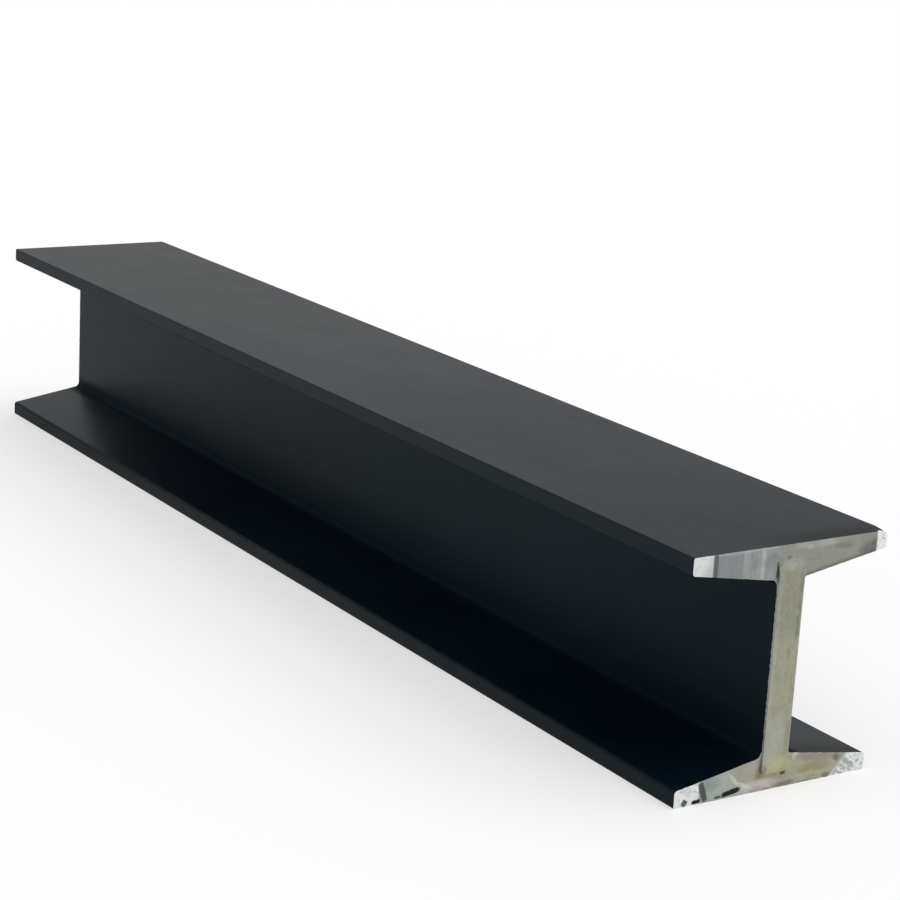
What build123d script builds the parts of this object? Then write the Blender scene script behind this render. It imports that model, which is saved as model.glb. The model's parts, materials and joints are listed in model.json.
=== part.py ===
from build123d import *
import os

# A short length of hot-rolled steel I-beam, painted, with one end cut back to bare metal.
# Lengths are millimetres. The beam lies along X with its bare end towards +X, and stands on the
# underside of its lower flange. The origin is on that underside, below the middle of the length.

# Rolled section
section_depth = 101.6  # from the underside to the top face
flange_width = 97.0
web_thickness = 13.0
flange_tip_thickness = 7.2
flange_taper = 1 / 6  # rise of a flange's inner face for each unit of travel towards the web
root_radius = 3.0  # hollow between the web and a flange's inner face
toe_radius = 1.4  # inner corner of a flange tip
arris_radius = 0.7  # outer corner of a flange tip

# Stock length and its two cuts
stock_length = 660.0  # from the far cut to the face of the web at the bare end
web_end_stand = 1.0  # the web's bare end stands this far beyond the ends of the flanges
web_end_bite = 7.0  # the standing strip runs this far into each flange, past its inner face
web_end_radius = 2.0  # corners of the standing strip
cut_overrun = 5.0  # how far the cut that sets the flange ends back runs past the section

half_width = flange_width / 2
half_web = web_thickness / 2
half_depth = section_depth / 2
root_thickness = flange_tip_thickness + (half_width - half_web) * flange_taper


def section_plane(place_along):
    """An upright plane across the beam, centred on the section's own middle."""
    return Plane(origin=(place_along, 0, half_depth), x_dir=(0, 1, 0), z_dir=(1, 0, 0))


def rolled_section(place_along):
    """The I section. Root, toe and arris of one quarter are mirrored across, then down."""
    quarter = [
        (half_web, half_depth - root_thickness, root_radius),
        (half_width, half_depth - flange_tip_thickness, toe_radius),
        (half_width, half_depth, arris_radius),
    ]
    upper = quarter + [(-across, height, radius) for across, height, radius in reversed(quarter)]
    corners = upper + [(across, -height, radius) for across, height, radius in reversed(upper)]
    with BuildSketch(section_plane(place_along)) as section:
        with BuildLine():
            FilletPolyline(
                [(across, height) for across, height, radius in corners],
                radius=[radius for across, height, radius in corners],
                close=True,
            )
        make_face()
    return section.sketch


def around_web_end(place_along):
    """All of the section but the strip of the web that is left standing at the bare end."""
    strip_height = section_depth - 2 * (root_thickness - web_end_bite)
    with BuildSketch(section_plane(place_along)) as around:
        Rectangle(flange_width + 2 * cut_overrun, section_depth + 2 * cut_overrun)
        RectangleRounded(web_thickness, strip_height, web_end_radius, mode=Mode.SUBTRACT)
    return around.sketch


def rolled_beam():
    """The whole beam: the section run between its cuts, with the flanges' bare ends set back."""
    far_cut = -stock_length / 2
    flange_cut = stock_length / 2 - web_end_stand
    with BuildPart() as beam:
        extrude(rolled_section(far_cut), amount=stock_length)
        extrude(around_web_end(flange_cut), amount=web_end_stand + cut_overrun, mode=Mode.SUBTRACT)
    return beam.part


os.makedirs("parts", exist_ok=True)
export_step(rolled_beam(), "parts/i_beam.step")
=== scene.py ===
import json
import math
from typing import NamedTuple

import bmesh
import bpy
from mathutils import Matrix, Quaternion, Vector, noise


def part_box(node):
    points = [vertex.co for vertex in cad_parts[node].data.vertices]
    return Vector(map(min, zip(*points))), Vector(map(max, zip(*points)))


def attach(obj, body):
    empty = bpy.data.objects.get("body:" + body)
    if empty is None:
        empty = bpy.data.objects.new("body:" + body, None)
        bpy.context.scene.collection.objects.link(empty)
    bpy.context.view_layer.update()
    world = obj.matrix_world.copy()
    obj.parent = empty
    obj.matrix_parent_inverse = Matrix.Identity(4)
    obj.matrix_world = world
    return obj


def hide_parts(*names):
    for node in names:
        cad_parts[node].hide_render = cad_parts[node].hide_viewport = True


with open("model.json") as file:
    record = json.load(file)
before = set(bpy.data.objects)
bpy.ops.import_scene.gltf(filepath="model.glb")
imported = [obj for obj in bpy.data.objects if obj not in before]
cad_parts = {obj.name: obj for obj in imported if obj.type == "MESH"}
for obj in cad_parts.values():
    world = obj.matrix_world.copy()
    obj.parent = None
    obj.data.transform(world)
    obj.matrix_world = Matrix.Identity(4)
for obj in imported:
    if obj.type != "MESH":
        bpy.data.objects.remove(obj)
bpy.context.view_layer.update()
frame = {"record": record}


# Rolled length
# The beam is one bar of steel, rolled hot into an I with tapered flanges and then painted.
# It is made as the rolls make it: one outline run along the beam, from the far cut to the bare end.

MM = 0.001


class Signal:
    """One output of a node. Sums on it add Math nodes, so that 1 - mask reads as what it does."""

    def __init__(self, tree, node, socket):
        self.tree = tree
        self.node = node
        self.socket = socket

    def output(self, name):
        return Signal(self.tree, self.node, self.node.outputs[name])

    def __add__(self, other):
        return self.tree.maths("ADD", self, other)

    def __radd__(self, other):
        return self.tree.maths("ADD", other, self)

    def __sub__(self, other):
        return self.tree.maths("SUBTRACT", self, other)

    def __rsub__(self, other):
        return self.tree.maths("SUBTRACT", other, self)

    def __mul__(self, other):
        return self.tree.maths("MULTIPLY", self, other)

    def __rmul__(self, other):
        return self.tree.maths("MULTIPLY", other, self)

    def __truediv__(self, other):
        return self.tree.maths("DIVIDE", self, other)

    def __rtruediv__(self, other):
        return self.tree.maths("DIVIDE", other, self)

    def __lt__(self, other):
        return self.tree.maths("LESS_THAN", self, other)

    def __gt__(self, other):
        return self.tree.maths("GREATER_THAN", self, other)

    def __abs__(self):
        return self.tree.maths("ABSOLUTE", self)

    def at_most(self, other):
        return self.tree.maths("MINIMUM", self, other)

    def at_least(self, other):
        return self.tree.maths("MAXIMUM", self, other)

    def ramp(self, start, end, low=0.0, high=1.0):
        """Runs smoothly from low, where this is start, to high, where it is end."""
        sockets = {"Value": self, "From Min": start, "From Max": end, "To Min": low, "To Max": high}
        return self.tree.add("ShaderNodeMapRange", {"interpolation_type": "SMOOTHSTEP"}, sockets)


class NodeTree:
    """A shader or geometry tree in the making. add() makes each of its nodes."""

    def __init__(self, tree):
        self.tree = tree

    def add(self, kind, settings=None, sockets=None, output=0):
        """Makes a node. Its settings come first, and then its sockets get their values or links."""
        node = self.tree.nodes.new(kind)
        for name, value in (settings or {}).items():
            setattr(node, name, value)
        for key, value in (sockets or {}).items():
            socket = self.find(node.inputs, key)
            if isinstance(value, Signal):
                self.tree.links.new(value.socket, socket)
            else:
                socket.default_value = value
        return Signal(self, node, self.find(node.outputs, output)) if node.outputs else node

    def find(self, sockets, key):
        """The socket in use that has this name, or this place in the list."""
        in_use = [socket for socket in sockets if socket.enabled]
        if isinstance(key, int):
            return in_use[key]
        return next(socket for socket in in_use if key in (socket.name, socket.identifier))

    def maths(self, operation, *values):
        return self.add("ShaderNodeMath", {"operation": operation}, dict(enumerate(values)))

    def mix(self, share, first, second):
        """The first colour where share is 0 and the second where it is 1."""
        sockets = {"Factor": share, "A": first, "B": second}
        for key, value in sockets.items():
            if isinstance(value, tuple):
                sockets[key] = (*value, 1)
        return self.add("ShaderNodeMix", {"data_type": "RGBA"}, sockets, "Result")

    def noise(self, place, scale, detail, roughness=0.5, distortion=0.0):
        """A cloudy pattern that stays between 0 and 1."""
        sockets = {"Vector": place, "Scale": scale, "Detail": detail, "Roughness": roughness}
        return self.add("ShaderNodeTexNoise", {}, {**sockets, "Distortion": distortion}, "Fac")

    def stretched(self, place, stretch):
        """The place times so much on each axis. A pattern read there is that much finer."""
        return self.add("ShaderNodeMapping", {}, {"Vector": place, "Scale": stretch})


def empty_material(name):
    """A new material, and its tree with no node in it yet."""
    material = bpy.data.materials.new(name)
    material.use_nodes = True
    material.node_tree.nodes.clear()
    return material, NodeTree(material.node_tree)


def put_in_scene(name, data):
    """A new object that holds this mesh, light or camera."""
    made = bpy.data.objects.new(name, data)
    bpy.context.scene.collection.objects.link(made)
    return made


beam_low, beam_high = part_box("i_beam")
beam_size = beam_high - beam_low
flange_width = beam_size.y
beam_depth = beam_size.z
middle_height = beam_depth / 2
half_width = flange_width / 2
mount_places = {mount["name"]: Vector(mount["pos_m"]) for mount in frame["record"]["mounts"]}
web_thickness = (mount_places["web_back"] - mount_places["web_front"]).length
flange_tip_thickness = 7.2 * MM
flange_taper = 1 / 6
root_radius = 3.0 * MM
toe_radius = 1.4 * MM
arris_radius = 0.7 * MM
web_end_stand = 1.0 * MM
station_spacing = 12.0 * MM
arc_steps = 7
flange_corners = 6

far_cut = beam_low.x
flange_cut = beam_high.x - web_end_stand


def rolled_outline(tree, sizes):
    """The I outline as a closed curve. Its corners run root, toe, arris, arris, toe, root, twice."""
    half_depth = sizes["Depth"] / 2
    half_width = sizes["Flange Width"] / 2
    half_web = sizes["Web Thickness"] / 2
    root_thickness = sizes["Tip Thickness"] + (half_width - half_web) * sizes["Taper"]
    index = tree.add("GeometryNodeInputIndex")
    turn = tree.maths("MODULO", index, flange_corners)

    # Halfway between the upper flange's last corner and the lower one's first
    halfway = flange_corners - 0.5

    # 0 at a root, 1 at a toe and 2 at an arris, counted from either side of a flange
    corner = turn.at_most(flange_corners - 1 - turn)
    is_root = corner < 0.5
    is_arris = corner > 1.5
    is_toe = 1 - is_root - is_arris
    side = 2 * (abs(index - halfway) > flange_corners / 2) - 1
    upper = 2 * (index < halfway) - 1
    across = half_width - is_root * (half_width - half_web)
    height = half_depth - is_root * root_thickness - is_toe * sizes["Tip Thickness"]
    radius = is_root * sizes["Root Radius"] + is_toe * sizes["Toe Radius"]
    radius = radius + is_arris * sizes["Arris Radius"]
    place = tree.add("ShaderNodeCombineXYZ", {}, {"X": side * across, "Y": upper * height})
    ring = tree.add("GeometryNodeMeshCircle", {}, {"Vertices": 2 * flange_corners})
    ring = tree.add("GeometryNodeSetPosition", {}, {"Geometry": ring, "Position": place})
    ring = tree.add("GeometryNodeMeshToCurve", {}, {"Mesh": ring})
    sockets = {"Curve": ring, "Count": sizes["Arc Steps"], "Radius": radius}
    return tree.add("GeometryNodeFilletCurve", {"mode": "POLY"}, sockets)


def rolled_length_tree():
    """Runs the outline along the beam's line, with a ring of points at every station."""
    group = bpy.data.node_groups.new("rolled_length", "GeometryNodeTree")
    lengths = ("Far Cut", "Near Cut", "Depth", "Flange Width", "Web Thickness", "Tip Thickness",
               "Taper", "Root Radius", "Toe Radius", "Arris Radius")
    for name in lengths:
        group.interface.new_socket(name=name, in_out="INPUT", socket_type="NodeSocketFloat")
    for name in ("Stations", "Arc Steps"):
        group.interface.new_socket(name=name, in_out="INPUT", socket_type="NodeSocketInt")
    group.interface.new_socket(name="Material", in_out="INPUT", socket_type="NodeSocketMaterial")
    group.interface.new_socket(name="Geometry", in_out="OUTPUT", socket_type="NodeSocketGeometry")
    tree = NodeTree(group)
    given = tree.add("NodeGroupInput")
    sizes = {socket.name: given.output(socket.name) for socket in given.node.outputs if socket.name}
    middle = sizes["Depth"] / 2
    start = tree.add("ShaderNodeCombineXYZ", {}, {"X": sizes["Far Cut"], "Z": middle})
    end = tree.add("ShaderNodeCombineXYZ", {}, {"X": sizes["Near Cut"], "Z": middle})
    line = tree.add("GeometryNodeCurvePrimitiveLine", {}, {"Start": start, "End": end})
    line = tree.add("GeometryNodeResampleCurve", {}, {"Curve": line, "Count": sizes["Stations"]})
    line = tree.add("GeometryNodeSetCurveNormal", {"mode": "Z_UP"}, {"Curve": line})
    sockets = {"Curve": line, "Profile Curve": rolled_outline(tree, sizes), "Fill Caps": True}
    beam = tree.add("GeometryNodeCurveToMesh", {}, sockets)
    beam = tree.add("GeometryNodeRealizeInstances", {}, {"Geometry": beam})
    beam = tree.add("GeometryNodeSetMaterial", {}, {"Geometry": beam, "Material": sizes["Material"]})
    tree.add("NodeGroupOutput", {}, {"Geometry": beam})
    return group


def made_by_nodes(name, group, inputs):
    """A mesh object of what a geometry tree makes from these inputs, with no modifier left on it."""
    maker = put_in_scene(name + "_maker", bpy.data.meshes.new(name + "_maker"))
    modifier = maker.modifiers.new("maker", "NODES")
    modifier.node_group = group
    for item in group.interface.items_tree:
        if item.in_out == "INPUT":
            modifier[item.identifier] = inputs[item.name]
    mesh = bpy.data.meshes.new_from_object(maker.evaluated_get(bpy.context.evaluated_depsgraph_get()))
    bpy.data.objects.remove(maker)
    mesh.name = name
    return put_in_scene(name, mesh)


# A rise is where a change starts and where it is full. A share is what it gives at those two
paint_shadow_colour = (0.0004, 0.0023, 0.0060)
paint_light_colour = (0.0014, 0.0054, 0.0102)
paint_tip_sheen_colour = (0.0058, 0.0085, 0.0120)
paint_by_cut_colour = (0.0040, 0.0034, 0.0018)
mottle_weight = 0.6
streak_weight = 0.4
tone_rise = (0.35, 0.65)
chip_colour = (0.30, 0.30, 0.28)
chip_metal = 0.7
chip_depth = 0.9 * MM
chip_start = 0.42
dust_and_sheen_colour = (0.27, 0.22, 0.17)
dust_and_sheen_cover = 0.045
dust_and_sheen_rise = (140 * MM, -120 * MM)
dust_and_sheen_share = (0.3, 1.0)
dust_and_sheen_cloud_rise = (0.25, 0.6)
dust_and_sheen_cloud_share = (0.5, 1.2)
paint_gloss = 0.085
paint_gloss_tint = (0.40, 0.90, 1.00)
paint_roughness = 0.40
dull_streaks = 0.03
dull_top = 0.035
top_skin = 0.1 * MM
dull_end = 0.055
dull_end_rise = (260 * MM, 20 * MM)
tip_skin = 0.3 * MM
tip_rise_up = (20 * MM, 80 * MM)
tip_sheen_share = (0.35, 1.0)
dull_far_tip = 0.12
far_tip_rise = (40 * MM, -240 * MM)
far_tip_share = (1.0, 0.4)
dull_toe = 0.13
toe_rise_across = (1.6 * MM, 1.0 * MM)
toe_rise_up = (1.3 * MM, 0.7 * MM)
dull_root = 0.35
root_rise_across = (9 * MM, 2 * MM)
root_rise_down = (22 * MM, 15 * MM)
dull_by_cut = 0.06
by_cut_rise = (16 * MM, 3 * MM)
by_cut_rise_across = (-20 * MM, 20 * MM)
by_cut_drift = 5 * MM
ripple_depth = 0.6 * MM
peel_depth = 0.05 * MM
peel_strength = 0.06


def satin_paint():
    """Charcoal satin paint over faint rolling marks, dull in its corners, with some dust on top, and
    painted sheen on the tips and on the far part of the top.
    """
    material, tree = empty_material("charcoal_paint")
    place = tree.add("ShaderNodeTexCoord", output="Object")
    parts = tree.add("ShaderNodeSeparateXYZ", {}, {"Vector": place})
    along = parts.output("X")
    across = parts.output("Y")
    up = parts.output("Z")
    from_cut = flange_cut - along
    from_web = abs(across) - web_thickness / 2
    from_tip = half_width - abs(across)
    from_face = middle_height - abs(up - middle_height)
    streaks = tree.noise(tree.stretched(place, (1, 30, 30)), scale=14, detail=4)
    mottle = tree.noise(place, scale=9, detail=3)
    cloud = tree.noise(tree.stretched(place, (1, 2, 2)), scale=22, detail=4, roughness=0.6)
    ripple = tree.noise(tree.stretched(place, (1, 1.6, 1.6)), scale=16, detail=2)
    crumble = tree.noise(place, scale=700, detail=3)
    peel = tree.noise(place, scale=900, detail=2)

    # Where on the beam each spot is
    on_top = up > beam_depth - top_skin
    on_tip = from_tip < tip_skin
    on_toe = from_tip.ramp(*toe_rise_across)
    on_toe = on_toe * abs(from_face - flange_tip_thickness).ramp(*toe_rise_up)
    in_root = from_web.ramp(*root_rise_across) * up.ramp(*root_rise_down)
    by_end = from_cut.ramp(*dull_end_rise) * on_top.at_least(across > 0)
    far_tip = on_tip * along.ramp(*far_tip_rise) * up.ramp(*tip_rise_up, *far_tip_share)
    by_cut = (from_cut - by_cut_drift * (mottle - 0.5)).ramp(*by_cut_rise)
    by_cut = by_cut * across.ramp(*by_cut_rise_across)
    chipped = from_cut < chip_depth * (crumble - chip_start)

    # Colour: two shades in streaks, dust on top that thickens towards the far end, where it is partly
    # painted sheen, browner by the cut
    dust_and_sheen = on_top * along.ramp(*dust_and_sheen_rise, *dust_and_sheen_share)
    dust_and_sheen = dust_and_sheen * cloud.ramp(*dust_and_sheen_cloud_rise, *dust_and_sheen_cloud_share)
    tone = (mottle_weight * mottle + streak_weight * streaks).ramp(*tone_rise)
    painted = tree.mix(tone, paint_shadow_colour, paint_light_colour)
    painted = tree.mix(dust_and_sheen_cover * dust_and_sheen, painted, dust_and_sheen_colour)
    painted = tree.mix(by_cut, painted, paint_by_cut_colour)
    # Painted sheen: the flange tips are painted lighter, fully on the upper flange and about a third as
    # much on the lower one
    painted = tree.mix(on_tip * up.ramp(*tip_rise_up, *tip_sheen_share), painted, paint_tip_sheen_colour)

    # Roughness: a little more on top and towards the ends, and most where a root holds dirt
    dull = (dull_top * on_top).at_least(dull_end * by_end)
    dull = dull + dull_root * in_root + dull_toe * on_toe + dull_by_cut * by_cut
    dull = dull + dull_far_tip * far_tip

    # Relief: long shallow ripples of the rolls, under the paint's fine skin
    rolled = {"Height": ripple, "Strength": 1.0, "Distance": ripple_depth}
    rolled = tree.add("ShaderNodeBump", {}, rolled)
    peeled = {"Height": peel, "Strength": peel_strength, "Distance": peel_depth, "Normal": rolled}
    shader = tree.add("ShaderNodeBsdfPrincipled", {}, {
        "Base Color": tree.mix(chipped, painted, chip_colour),
        "Metallic": chip_metal * chipped,
        "Roughness": paint_roughness + dull_streaks * (streaks - 0.5) + dull,
        "Specular IOR Level": paint_gloss,
        "Specular Tint": (*paint_gloss_tint, 1),
        "Normal": tree.add("ShaderNodeBump", {}, peeled),
    })
    tree.add("ShaderNodeOutputMaterial", {}, {"Surface": shader})
    return material


charcoal_paint = satin_paint()
beam = made_by_nodes("rolled_beam", rolled_length_tree(), {
    "Far Cut": far_cut,
    "Near Cut": flange_cut,
    "Depth": beam_depth,
    "Flange Width": flange_width,
    "Web Thickness": web_thickness,
    "Tip Thickness": flange_tip_thickness,
    "Taper": flange_taper,
    "Root Radius": root_radius,
    "Toe Radius": toe_radius,
    "Arris Radius": arris_radius,
    "Stations": round((flange_cut - far_cut) / station_spacing),
    "Arc Steps": arc_steps,
    "Material": charcoal_paint,
})


# Bare end
# The near end was cut after the painting, so it is bare steel: sawn, ground bright at the four
# flange tips, chipped and stained below. The web was cut in a pass of its own and stands proud.

web_end_bite = 7.0 * MM
web_end_corner = 2.0 * MM
web_end_inset = 0.1 * MM
web_end_fade = 5.0 * MM
web_end_sink = 0.96 * web_end_stand
worked_steps = (7.0 * MM, 5.0 * MM, 3.2 * MM, 1.6 * MM, 0.5 * MM)
worked_length = worked_steps[0]
grid_across = 0.55 * MM
grid_up = 1.1 * MM
root_thickness = flange_tip_thickness + (flange_width - web_thickness) / 2 * flange_taper
strip_half_width = web_thickness / 2 - web_end_inset
strip_half_height = middle_height - root_thickness + web_end_bite
saw_mark_depth = 0.05 * MM
coarse_mark = (1.1 * MM, 40 * MM)
fine_mark = (0.6 * MM, 6 * MM)
fine_mark_layer = 5
cut_edge_wear = 0.25 * MM
edge_wear_share = 0.7
edge_wear_swing = 0.6
edge_wear_grain = 2 * MM
dropped_tip_width = 4.5 * MM
dropped_tip_depth = 1.0 * MM
dropped_tip_length = 1.8 * MM
dropped_tip_falloff = 4
sharp_angle = math.radians(40)
facing_end = 0.9
on_cut = 0.1 * MM
on_plane = 0.02 * MM

grey_steel = (0.265, 0.282, 0.285)
pale_steel = (0.44, 0.46, 0.45)
khaki_steel = (0.290, 0.295, 0.255)
olive_steel = (0.300, 0.302, 0.218)
straw_steel = (0.375, 0.370, 0.275)
yellow_steel = (0.470, 0.450, 0.270)
straw_white = (0.62, 0.67, 0.54)
chalky_steel = (0.41, 0.46, 0.41)
beige_steel = (0.400, 0.385, 0.290)
brown_steel = (0.330, 0.285, 0.150)
rusty_steel = (0.260, 0.205, 0.150)
rosy_steel = (0.560, 0.510, 0.500)
lilac_steel = (0.400, 0.370, 0.375)
mauve_steel = (0.300, 0.265, 0.255)
bright_steel = (0.80, 0.82, 0.82)
curl_steel = (0.24, 0.28, 0.25)
dull_steel = (0.15, 0.165, 0.16)
# Painted shade along two edges of the end and by the top far tip, and also a smudge
shade_and_smudge_steel = (0.150, 0.142, 0.125)
green_scale = (0.08, 0.11, 0.08)
rusty_scale = (0.060, 0.035, 0.012)
# Painted shade, for the dark inside the hollows
hollow_shade = (0.006, 0.008, 0.007)
steel_metal = 0.75
steel_roughness = 0.45
cloud_roughness = 0.25
hollow_roughness = 0.2
steel_gloss = 0.2
relief_depth = 0.12 * MM
relief_strength = 0.35
mark_relief = 0.6
ground_mark_loss = 0.7
cloud_relief = 0.3
curl_relief = 0.5

# Where one tone of the end starts and where it is full, in millimetres: across from the middle of
# the web, up from the foot of the beam, or in from a flange's slope
near_side_edge = (-5.0, -9.0)
khaki_side = (-13.0, -3.0)
pale_step = (-25.2, -24.2)
pale_rim = (100.2, 101.2)
far_side_edge = (6.0, 9.0)
slope_edge = (2.4, 0.4)
strip_top_edge = (95.0, 88.0)
straw_foot = (68.0, 60.0)
dull_streaks_edge = (30.0, 40.0)
dull_line_middle = 5.0
dull_line_sides = (1.5, 0.6)
pale_near_margin = (-3.4, -5.2)
pale_far_margin = (5.8, 6.3)
block_lean = 1.1
block_end = (-10.6, -9.8)
lower_edge = (3.2, 1.2)
lower_edge_start = (-16.0, 6.0)
top_near_tip = (-38.9, -39.5)
top_far_tip = (43.0, 43.6)
low_near_tip = (-36.2, -37.0)
low_far_tip = (28.6, 31.4)
scuff_lean = 0.6
scuff_edge = (-104.0, -97.0)

# How far the borders and the stains wander, in millimetres, and how much of it goes upwards
border_wobble = 0.9
stain_drift = 5
moved_up_share = 0.6

# How much of a tone shows where it is full. The scuff's first share is the one where it starts
pale_step_share = 0.35
scored_share = 0.28
pale_rim_share = 0.5
under_flange_shade_share = 0.75
straw_share = 0.7
straw_swing = 0.6
dull_streaks_share = 0.5
dull_line_share = 0.3
near_margin_share = 0.25
far_margin_share = 0.4
lower_flange_share = 0.92
foot_shade_share = 0.7
dull_cloud_share = 0.2
dark_grain_share = 0.25
light_grain_share = 0.3
curl_share = 0.2
low_near_curl_share = 0.15
top_far_curl_share = 0.4
wide_curl_share = 0.7
scuff_share = (0.25, 0.75)

# How a pattern, which stays between 0 and 1, breaks a tone up: its value where the tone starts and
# where it is full. A patch's rim is read the same way from its shape
scored_lines = (0.62, 0.34)
dull_streaks_broken = (0.48, 0.28)
dull_line_broken = (0.6, 0.45)
near_margin_broken = (0.25, 0.5)
lower_edge_broken = (0.42, 0.60)
stain_blotches = (0.35, 0.6, 0.6, 1.15)
dull_clouds = (0.50, 0.30)
dark_grain = (0.50, 0.25)
light_grain = (0.55, 0.8)
fine_curls = (0.50, 0.34)
wide_curls = (0.60, 0.38)
stain_rim = (-0.6, 1.0)
hollow_rim = (0, 0.8)


class Patch(NamedTuple):
    """A rounded patch of the end face, in millimetres. Its turn is in degrees from level."""
    across: float
    up: float
    half_long: float
    half_short: float
    turn: float
    colour: tuple
    share: float
    raggedness: float = 1.0
    depth: float = 0.0


stains = {
    "dim oval in the scoring": Patch(-18.6, 95.6, 2.2, 1.8, 90, dull_steel, 0.4),
    "bright streak": Patch(-14.5, 95.0, 7.5, 1.2, 90, pale_steel, 1.0, 0.1),
    "dim patch beside the web": Patch(-10.2, 96.0, 3.8, 3.0, 0, dull_steel, 0.45),
    "light band on the far side": Patch(12.5, 100.2, 11.0, 1.8, 0, pale_steel, 0.6),
    "smudge on the far side": Patch(25.5, 97.8, 5.0, 1.8, -6, shade_and_smudge_steel, 0.4),
    "shade by the top far tip": Patch(41.5, 94.6, 7.5, 4.8, 8, shade_and_smudge_steel, 0.9, 0.4),
    "pale top of the strip": Patch(1.0, 93.6, 6.5, 2.4, 0, pale_steel, 0.45, 0.6),
    "paler foot of the strip": Patch(-1.8, 20.5, 11.0, 5.0, 90, pale_steel, 0.45),
    "yellow foot of the strip": Patch(1.2, 10.2, 8.0, 4.6, 0, yellow_steel, 0.85),
    "brown under the foot": Patch(0.5, 5.0, 9.0, 2.0, 0, brown_steel, 0.9),
    "brown beside the foot": Patch(-6.5, 7.8, 3.6, 2.4, 80, rusty_steel, 0.8, 0.6),
    "white spot beside the foot": Patch(11.3, 12.1, 2.0, 1.6, 0, bright_steel, 0.65, 0.4),
    "brown patch": Patch(21.8, 5.7, 8.0, 2.6, 0, brown_steel, 1.0, 0.6),
    "mauve band over it": Patch(22.5, 10.2, 14.0, 2.2, -8, mauve_steel, 1.0),
    "straw below it": Patch(21.0, 2.9, 11.0, 1.2, -2, yellow_steel, 0.6),
    "green spot by the low far tip": Patch(33.4, 8.0, 2.2, 1.8, 0, green_scale, 0.6, 0.4),
    "rosy lower edge": Patch(-7.0, 2.6, 11.0, 2.6, 2, rosy_steel, 1.0, 0.8),
    "lilac rise": Patch(-11.8, 10.6, 5.6, 1.8, 9, lilac_steel, 0.9),
    "bright end of the chalky block": Patch(-19.4, 7.0, 3.8, 0.8, -48, straw_white, 0.7, 0.2),
    "bright foot of its end": Patch(-14.6, 4.0, 4.4, 0.9, -24, straw_white, 0.7, 0.2),
    "grey start of the chalky block": Patch(-31.0, 7.6, 4.5, 3.6, 0, dull_steel, 0.45),
}
hollows = {
    "score beside the top tip": Patch(-37.6, 97.0, 9.0, 1.1, 91, hollow_shade, 0.5, 0.2, 0.2),
    "gap beside the strip's top": Patch(-6.8, 91.8, 4.0, 0.6, 90, hollow_shade, 0.65, 0.3, 0.3),
    "dot over the web": Patch(-1.4, 96.2, 1.2, 0.8, 0, hollow_shade, 0.25, 1.2, 0.1),
    "dot under the web": Patch(5.4, 5.9, 1.5, 0.9, 10, rusty_scale, 0.8, 2.0, 0.3),
    "gap beside the ground tip": Patch(-34.6, 4.6, 5.2, 1.6, 110, hollow_shade, 0.75, 1.0, 0.4),
    "gouge under the near flange": Patch(-20.4, 2.1, 5.2, 1.3, 9, hollow_shade, 1.0, 0.6, 0.5),
    "start of the gouge": Patch(-27.0, 1.1, 1.8, 0.7, 6, hollow_shade, 0.8, 1.2, 0.4),
    "outer pit of the near tip": Patch(-43.4, 1.6, 1.7, 1.5, 60, hollow_shade, 0.85, 2.4, 0.4),
    "inner pit of the near tip": Patch(-37.6, 1.2, 2.4, 1.0, 4, hollow_shade, 1.0, 1.6, 0.5),
}


def patch_shape(across, up, patch):
    """1 in the middle of a patch, 0 on its rim and less outside, for plain numbers and for signals.

    A stain is an ellipse, and a hollow has the straighter sides of a groove.
    """
    turn = math.radians(patch.turn)
    across = across - patch.across
    up = up - patch.up
    along = (across * math.cos(turn) + up * math.sin(turn)) / patch.half_long
    beside = (up * math.cos(turn) - across * math.sin(turn)) / patch.half_short
    along = along * along
    beside = beside * beside
    if patch.depth > 0:
        along = along * along
        beside = beside * beside
    return 1 - along - beside


def slice_faces(mesh, faces, place, normal):
    """Cuts these faces of a mesh along a plane, and returns all that they are now."""
    edges = {edge for face in faces for edge in face.edges}
    corners = {corner for face in faces for corner in face.verts}
    cut = bmesh.ops.bisect_plane(
        mesh, geom=[*faces, *edges, *corners], dist=on_plane, plane_co=place, plane_no=normal)
    return [item for item in cut["geom"] if isinstance(item, bmesh.types.BMFace)]


def gridded_end(mesh, cut_at, way):
    """Divides the last stretch before a cut, so that it can take wear and relief.

    way is 1 at the near end and -1 at the far one. Returns the faces of the cut itself.
    """
    faces = list(mesh.faces)
    for step in worked_steps:
        faces = slice_faces(mesh, faces, Vector((cut_at - way * step, 0, 0)), Vector((1, 0, 0)))
    border = (cut_at - way * worked_length) * way
    faces = [face for face in faces if face.calc_center_median().x * way > border]
    for step in range(round(-half_width / grid_across) + 1, round(half_width / grid_across)):
        faces = slice_faces(mesh, faces, Vector((0, step * grid_across, 0)), Vector((0, 1, 0)))
    for step in range(1, round(beam_depth / grid_up)):
        faces = slice_faces(mesh, faces, Vector((0, 0, step * grid_up)), Vector((0, 0, 1)))
    return [face for face in faces if face.normal.x * way > facing_end]


def in_strip(place):
    """Whether a point of the end lies on the standing strip of the web, inside its rounded corners."""
    beyond_across = max(abs(place.y) - (strip_half_width - web_end_corner), 0)
    beyond_up = max(abs(place.z - middle_height) - (strip_half_height - web_end_corner), 0)
    return math.hypot(beyond_across, beyond_up) < web_end_corner


def stand_web_out(mesh, faces):
    """Lifts the strip of the web's end off the flanges' end face."""
    for side in (-1, 1):
        faces = slice_faces(mesh, faces, Vector((0, side * strip_half_width, 0)), Vector((0, 1, 0)))
        height = middle_height + side * strip_half_height
        faces = slice_faces(mesh, faces, Vector((0, 0, height)), Vector((0, 0, 1)))
    strip = [face for face in faces if in_strip(face.calc_center_median())]
    raised = bmesh.ops.extrude_face_region(mesh, geom=strip)["geom"]
    bmesh.ops.delete(mesh, geom=strip, context="FACES")
    corners = [item for item in raised if isinstance(item, bmesh.types.BMVert)]
    bmesh.ops.translate(mesh, verts=corners, vec=Vector((web_end_stand, 0, 0)))


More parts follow.
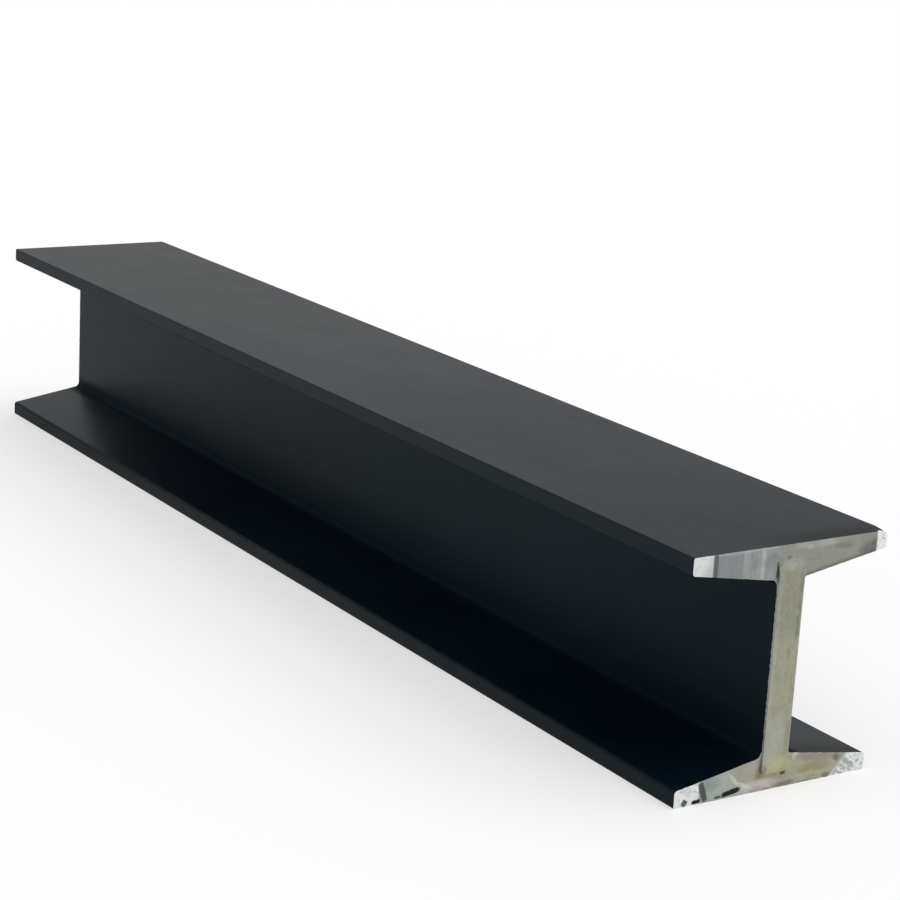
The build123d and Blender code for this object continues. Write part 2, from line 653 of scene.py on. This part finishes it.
def saw_mark(place):
    """How far the blade's marks lie in at a point of a cut, in metres."""
    coarse = noise.noise(Vector((place.y / coarse_mark[0], place.z / coarse_mark[1], 0)))
    fine = Vector((place.y / fine_mark[0], place.z / fine_mark[1], fine_mark_layer))
    fine = noise.noise(fine)
    return saw_mark_depth * (1.5 + coarse + 0.5 * fine) / 2


def wear_end(mesh, cut_at, way):
    """Roughens a cut end and rounds its edge. The near one also gets its hollows and its bent tip."""
    end_faces = {face for face in mesh.faces if face.normal.x * way > facing_end}
    for corner in mesh.verts:
        place = corner.co.copy()
        beyond = (place.x - cut_at) * way
        if beyond < -worked_length:
            continue
        if beyond > -on_cut:
            sink = saw_mark(place)
            beside = [face for face in corner.link_faces if face not in end_faces]
            if any((face.calc_center_median().x - cut_at) * way < 0 for face in beside):
                swing = edge_wear_swing * noise.noise(place / edge_wear_grain)
                sink += cut_edge_wear * (edge_wear_share + swing)
            if beyond > web_end_stand / 2:
                below_top = middle_height + strip_half_height - place.z
                sink += web_end_sink * max(1 - below_top / web_end_fade, 0)
            if way > 0:
                for hollow in hollows.values():
                    sink += hollow.depth * MM * max(patch_shape(place.y / MM, place.z / MM, hollow), 0)
            corner.co.x -= way * sink
        if way > 0 and place.z > beam_depth - flange_tip_thickness / 2:
            share = max(place.y - (half_width - dropped_tip_width), 0) / dropped_tip_width
            back = max(1 + beyond / worked_length, 0)
            falloff = (place.z / beam_depth) ** dropped_tip_falloff
            corner.co.z -= dropped_tip_depth * share * back * falloff


def cut_steel():
    """The bare end: grey saw-marked steel, bright ground tips, straw and brown stains, hollows darkened
    with painted shade, and painted shade along two edges.
    """
    material, tree = empty_material("cut_steel")
    place = tree.add("ShaderNodeTexCoord", output="Object")
    parts = tree.add("ShaderNodeSeparateXYZ", {}, {"Vector": place})
    exact_across = parts.output("Y") / MM
    exact_up = parts.output("Z") / MM
    wobble = tree.noise(place, scale=500, detail=3) - 0.5
    ragged = tree.noise(place, scale=420, detail=3, roughness=0.7, distortion=0.6) - 0.5
    drift = stain_drift * (tree.noise(place, scale=150, detail=3, roughness=0.6) - 0.5)
    across = exact_across + border_wobble * wobble
    up = exact_up + border_wobble * wobble
    from_middle = abs(exact_up - middle_height / MM)
    is_top = up > middle_height / MM
    low = 1 - is_top
    on_strip = (abs(exact_across) < strip_half_width / MM) * (from_middle < strip_half_height / MM)
    into_flange = (half_width / MM - abs(exact_across)) * flange_taper + flange_tip_thickness / MM
    from_slope = into_flange - (middle_height / MM - from_middle).at_least(0)
    marks = tree.noise(tree.stretched(place, (0, 620, 12)), scale=1, detail=3, roughness=0.6)
    drawn_up = tree.noise(tree.stretched(place, (0, 330, 90)), scale=1, detail=3, roughness=0.6)
    drawn_across = tree.noise(tree.stretched(place, (0, 170, 420)), scale=1, detail=2)
    cloud = tree.noise(place, scale=130, detail=4, roughness=0.6)
    grain = tree.noise(place, scale=620, detail=3, roughness=0.6)
    curl = tree.stretched(place, (1, 1, 1.3))
    curl = tree.noise(curl, scale=200, detail=3, roughness=0.55, distortion=1.8)

    def reach(patch, moved):
        """How much of a patch's colour each spot takes."""
        moved = patch.raggedness * moved
        shape = patch_shape(exact_across + moved, exact_up + moved_up_share * moved, patch)
        return patch.share * shape.ramp(*(hollow_rim if patch.depth > 0 else stain_rim))

    # Upper flange: scored grey on the near side, then plain khaki grey, with painted shade along its
    # lower border on the far side
    near_side = across.ramp(*near_side_edge)
    step = is_top * across.ramp(*pale_step) * near_side
    scored = is_top * marks.ramp(*scored_lines) * near_side
    rim = is_top * near_side * up.ramp(*pale_rim)
    under_flange_shade = is_top * (across.ramp(*far_side_edge) * from_slope.ramp(*slope_edge))
    steel = tree.mix(across.ramp(*khaki_side), grey_steel, khaki_steel)
    steel = tree.mix(step * pale_step_share, steel, pale_steel)
    steel = tree.mix(scored * scored_share, steel, dull_steel)
    steel = tree.mix(rim * pale_rim_share, steel, pale_steel)
    steel = tree.mix(under_flange_shade * under_flange_shade_share, steel, shade_and_smudge_steel)

    # Web: olive above and straw below, in patches drawn out upwards, a little paler at both sides
    straw = up.ramp(*straw_foot) * (straw_share + straw_swing * (drawn_up - 0.5))
    streaks = drawn_up.ramp(*dull_streaks_broken) * up.ramp(*dull_streaks_edge)
    dull_line = abs(across - dull_line_middle).ramp(*dull_line_sides)
    dull_line = dull_line * drawn_up.ramp(*dull_line_broken)
    near_margin = across.ramp(*pale_near_margin) * cloud.ramp(*near_margin_broken)
    far_margin = across.ramp(*pale_far_margin)
    web_steel = tree.mix(straw, olive_steel, straw_steel)
    web_steel = tree.mix(streaks * dull_streaks_share, web_steel, dull_steel)
    web_steel = tree.mix(dull_line * dull_line_share, web_steel, dull_steel)
    web_steel = tree.mix(near_margin * near_margin_share, web_steel, pale_steel)
    web_steel = tree.mix(far_margin * far_margin_share, web_steel, pale_steel)
    steel = tree.mix(on_strip * up.ramp(*strip_top_edge), steel, web_steel)

    # Lower flange: a chalky block beside the near tip, then beige
    past_block = (across + block_lean * up).ramp(*block_end)
    lower_steel = tree.mix(past_block, chalky_steel, beige_steel)
    steel = tree.mix(low * (1 - on_strip) * lower_flange_share, steel, lower_steel)

    # Stains over both flanges and the web, and painted shade in a ragged band along the lower flange's
    # foot
    blotched = cloud.ramp(*stain_blotches)
    for stain in stains.values():
        steel = tree.mix(reach(stain, drift) * blotched, steel, stain.colour)
    foot_shade = up.ramp(*lower_edge) * across.ramp(*lower_edge_start)
    foot_shade = low * (foot_shade * drawn_across.ramp(*lower_edge_broken))
    steel = tree.mix(foot_shade * foot_shade_share, steel, shade_and_smudge_steel)

    # Fine grain over all of it
    steel = tree.mix(cloud.ramp(*dull_clouds) * dull_cloud_share, steel, dull_steel)
    steel = tree.mix(grain.ramp(*dark_grain) * dark_grain_share, steel, dull_steel)
    steel = tree.mix(grain.ramp(*light_grain) * light_grain_share, steel, pale_steel)

    # Ground tips, with dull curls between the bright scratches
    on_top_near_tip = is_top * across.ramp(*top_near_tip)
    on_top_far_tip = is_top * across.ramp(*top_far_tip)
    on_low_near_tip = low * across.ramp(*low_near_tip)
    on_low_far_tip = low * (across - up).ramp(*low_far_tip)
    ground = on_top_near_tip.at_least(on_top_far_tip).at_least(on_low_near_tip)
    ground = ground.at_least(on_low_far_tip)
    fine_share = curl_share + low_near_curl_share * on_low_near_tip
    fine_share = fine_share + top_far_curl_share * on_top_far_tip
    curled = curl.ramp(*fine_curls) * fine_share
    curled = curled.at_least(curl.ramp(*wide_curls) * wide_curl_share * on_low_far_tip)
    scuff = on_top_near_tip * (across - scuff_lean * up).ramp(*scuff_edge, *scuff_share)
    steel = tree.mix(ground, steel, tree.mix(curled, bright_steel, curl_steel))
    steel = tree.mix(scuff, steel, pale_steel)

    # Hollows, darkened with painted shade (the dot under the web with rust) and without shine
    in_hollow = 0.0
    for hollow in hollows.values():
        taken = reach(hollow, ragged)
        steel = tree.mix(taken, steel, hollow.colour)
        in_hollow = taken.at_least(in_hollow)

    relief = mark_relief * marks * (1 - ground_mark_loss * ground)
    relief = relief + cloud_relief * cloud + curl_relief * curl * ground
    bump = {"Height": relief, "Strength": relief_strength, "Distance": relief_depth}
    shader = tree.add("ShaderNodeBsdfPrincipled", {}, {
        "Base Color": steel,
        "Metallic": steel_metal * (1 - in_hollow),
        "Roughness": steel_roughness + cloud_roughness * (cloud - 0.5) + hollow_roughness * in_hollow,
        "Specular IOR Level": steel_gloss,
        "Normal": tree.add("ShaderNodeBump", {}, bump),
    })
    tree.add("ShaderNodeOutputMaterial", {}, {"Surface": shader})
    return material


beam.data.materials.append(cut_steel())
body = bmesh.new()
body.from_mesh(beam.data)
bmesh.ops.recalc_face_normals(body, faces=body.faces)
stand_web_out(body, gridded_end(body, flange_cut, 1))
gridded_end(body, far_cut, -1)
body.normal_update()
tip_start = half_width - dropped_tip_width
web_reach = middle_height - root_thickness

# A face is bare on the near cut, on the standing strip and on the bent tip
for face in body.faces:
    face.smooth = True
    middle = face.calc_center_median()
    beside_strip = strip_half_width < -middle.y < web_thickness / 2
    in_margin = beside_strip and abs(middle.z - middle_height) < web_reach
    on_end = face.normal.x > facing_end and not in_margin
    on_strip_side = middle.x > flange_cut + on_cut and face.normal.y > -facing_end
    by_the_cut = middle.x > flange_cut - dropped_tip_length
    near_top = middle.z > beam_depth - 2 * dropped_tip_depth
    on_dropped_tip = by_the_cut and middle.y > tip_start and near_top
    face.material_index = 1 if on_end or on_strip_side or on_dropped_tip else 0
wear_end(body, flange_cut, 1)
wear_end(body, far_cut, -1)
body.to_mesh(beam.data)
body.free()
beam.data.set_sharp_from_angle(angle=sharp_angle)
even_shading = beam.modifiers.new("even_shading", "WEIGHTED_NORMAL")
even_shading.keep_sharp = True

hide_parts("i_beam")
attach(beam, "root")


# Floor, light and camera
# None of these is part of the beam. The floor is a plain pale sheet that runs out of sight. Soft
# light falls on the beam from all round, and a wide lamp stands high behind it.

floor_size = 60.0
floor_colour = (0.8, 0.8, 0.8)
floor_white = (1.0, 1.0, 1.0)
floor_glow = 0.5
sky_light = 0.75
lamp_light = 0.25
lamp_spread = math.radians(60)
lamp_aim = Vector((-0.25, -0.55, -1.0))
camera_place = Vector((0.9948, -0.5951, 0.3644))
camera_aim = Vector((0.0828, 0.0, 0.0768))
camera_roll = math.radians(-3.24)
camera_lens = 95.5


def seen_directly(tree):
    """1 for rays that show the background, straight or in a gloss, and 0 for the rest."""
    path = tree.add("ShaderNodeLightPath")
    shown = path.output("Is Camera Ray").at_least(path.output("Is Glossy Ray"))
    return shown.at_least(path.output("Is Transmission Ray"))


def pale_floor():
    """A plain sheet that takes shadows. It looks white, and lights the beam as pale grey does."""
    material, tree = empty_material("pale_floor")
    shown = seen_directly(tree)
    sheet = tree.add("ShaderNodeBsdfDiffuse", {}, {"Color": tree.mix(shown, floor_colour, floor_white)})
    glow = tree.add("ShaderNodeEmission", {}, {"Color": (*floor_white, 1)})
    both = tree.add("ShaderNodeMixShader", {}, {0: floor_glow * shown, 1: sheet, 2: glow})
    tree.add("ShaderNodeOutputMaterial", {}, {"Surface": both})
    return material


floor_mesh = bpy.data.meshes.new("floor")
floor_reach = floor_size / 2
floor_corners = [(floor_reach * x, floor_reach * y, 0) for x, y in ((-1, -1), (1, -1), (1, 1), (-1, 1))]
floor_mesh.from_pydata(floor_corners, [], [(0, 1, 2, 3)])
floor_mesh.materials.append(pale_floor())
floor = put_in_scene("floor", floor_mesh)

world = bpy.data.worlds.new("soft_daylight")
world.use_nodes = True
world.node_tree.nodes.clear()
sky = NodeTree(world.node_tree)
sky_strength = sky_light + (1 - sky_light) * seen_directly(sky)
background = sky.add("ShaderNodeBackground", {}, {"Color": (1, 1, 1, 1), "Strength": sky_strength})
sky.add("ShaderNodeOutputWorld", {}, {"Surface": background})
bpy.context.scene.world = world

lamp_data = bpy.data.lights.new("wide_lamp", "SUN")
lamp_data.angle = lamp_spread
lamp_data.energy = lamp_light * math.pi / -lamp_aim.normalized().z
lamp = put_in_scene("wide_lamp", lamp_data)
lamp.rotation_euler = lamp_aim.to_track_quat("-Z", "Y").to_euler()

camera_data = bpy.data.cameras.new("camera")
camera_data.lens = camera_lens
camera = put_in_scene("camera", camera_data)
camera.location = camera_place
facing = (camera_aim - camera_place).to_track_quat("-Z", "Y")
camera.rotation_euler = (facing @ Quaternion((0, 0, -1), camera_roll)).to_euler()
bpy.context.scene.camera = camera

bpy.context.scene.view_settings.view_transform = "Standard"
